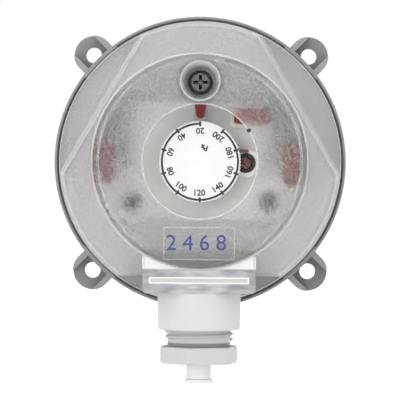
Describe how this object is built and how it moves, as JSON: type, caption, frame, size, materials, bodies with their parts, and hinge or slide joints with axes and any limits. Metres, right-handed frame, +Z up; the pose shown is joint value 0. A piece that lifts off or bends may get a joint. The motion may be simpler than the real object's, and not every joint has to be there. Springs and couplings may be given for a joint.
{
  "type": "differential pressure switch",
  "caption": "Round wall-mounted differential pressure switch with a frosted clear cover, setting dial, hose nipples and a cable gland.",
  "frame": {"origin": "centre of the mounting plane, on the axis of the round housing and of the four mounting holes", "axes": "+X to the right and +Z up as the switch hangs on the wall, +Y into the wall, front and dial face -Y"},
  "size_m": [0.085, 0.0573, 0.1059],
  "materials": {
    "housing_plastic": "fine matt moulded",
    "carrier_plastic": "matt moulded",
    "cover_clear": "clear, frosted by fine spark texture except for the window and the entry box",
    "silicone": "smooth",
    "aluminium_sheet": "mill",
    "brass": "turned",
    "plated_steel": "zinc plated",
    "black_steel": "black oxide",
    "contact_bronze": "spring strip",
    "black_rubber": "smooth",
    "black_plastic": "semi gloss",
    "dial_white": "satin",
    "pointer_red": "satin",
    "terminal_red": "satin",
    "red_lacquer": "gloss",
    "gland_plastic": "satin",
    "plug_natural": "waxy, see-through"
  },
  "bodies": {
    "housing": {"rear_housing": "housing_plastic", "front_housing": "housing_plastic", "contact_carrier": "carrier_plastic", "lever_pin": "plated_steel", "lever_spring": "plated_steel", "fixed_contact_nc": "contact_bronze", "fixed_contact_no": "contact_bronze", "calibration_bush": "black_plastic", "lacquer_seal": "red_lacquer", "setpoint_pointer": "pointer_red", "carrier_screw_left": "plated_steel", "carrier_screw_right": "plated_steel", "terminal_blade_left": "brass", "terminal_clamp_left": "terminal_red", "clamp_screw_left": "plated_steel", "terminal_blade_right": "brass", "terminal_clamp_right": "terminal_red", "clamp_screw_right": "plated_steel", "terminal_blade_top": "brass", "terminal_clamp_top": "terminal_red", "clamp_screw_top": "plated_steel"},
    "cover": {"cover": "cover_clear", "cover_screw": "black_steel", "gland_seal": "black_rubber"},
    "gland_plug": {"gland_plug": "plug_natural"},
    "gland_washer": {"gland_washer": "gland_plastic"},
    "gland_screw": {"gland_screw": "gland_plastic"},
    "dial": {"dial": "dial_white", "adjusting_spindle": "brass", "spindle_seal": "black_rubber"},
    "spring_seat": {"spring_seat": "carrier_plastic", "range_spring": "plated_steel"},
    "diaphragm": {"diaphragm": "silicone", "diaphragm_plate": "carrier_plastic", "backing_washer": "aluminium_sheet", "plunger": "brass"},
    "contact_lever": {"contact_lever": "contact_bronze"}
  },
  "joints": [
    {"name": "cover_lift", "type": "slide", "parent": "housing", "child": "cover", "axis": [0, -1, 0], "range_m": [0, 0.045]},
    {"name": "plug_pull", "type": "slide", "parent": "cover", "child": "gland_plug", "axis": [0, 0, -1], "range_m": [0, 0.026]},
    {"name": "gland_press", "type": "slide", "parent": "cover", "child": "gland_washer", "axis": [0, 0, 1], "range_m": [0, 0.002], "deforming": ["gland_seal"]},
    {"name": "gland_turn", "type": "hinge", "parent": "gland_washer", "child": "gland_screw", "pos_m": [0, -0.0445, -0.05], "axis": [0, 0, 1], "range_deg": [0, 480]},
    {"name": "dial_turn", "type": "hinge", "parent": "housing", "child": "dial", "pos_m": [0, -0.045, 0], "axis": [0, 1, 0], "range_deg": [0, 324]},
    {"name": "seat_slide", "type": "slide", "parent": "housing", "child": "spring_seat", "axis": [0, 1, 0], "range_m": [0, 0.00405], "deforming": ["range_spring"]},
    {"name": "diaphragm_stroke", "type": "slide", "parent": "housing", "child": "diaphragm", "axis": [0, -1, 0], "range_m": [0, 0.0008], "stiffness_N_per_m": 160, "springref_m": -0.00045, "deforming": ["diaphragm", "range_spring"]},
    {"name": "lever_rock", "type": "hinge", "parent": "housing", "child": "contact_lever", "pos_m": [-0.026, -0.03075, 0], "axis": [0, 0, -1], "range_deg": [0, 4.6], "deforming": ["lever_spring"]}
  ],
  "couplings": [
    {"joint": "gland_press", "follows": "gland_turn", "m_per_rad": 0.0002387},
    {"joint": "seat_slide", "follows": "dial_turn", "m_per_rad": 0.000716},
    {"joint": "lever_rock", "follows": "diaphragm_stroke", "rad_per_m": 100}
  ]
}
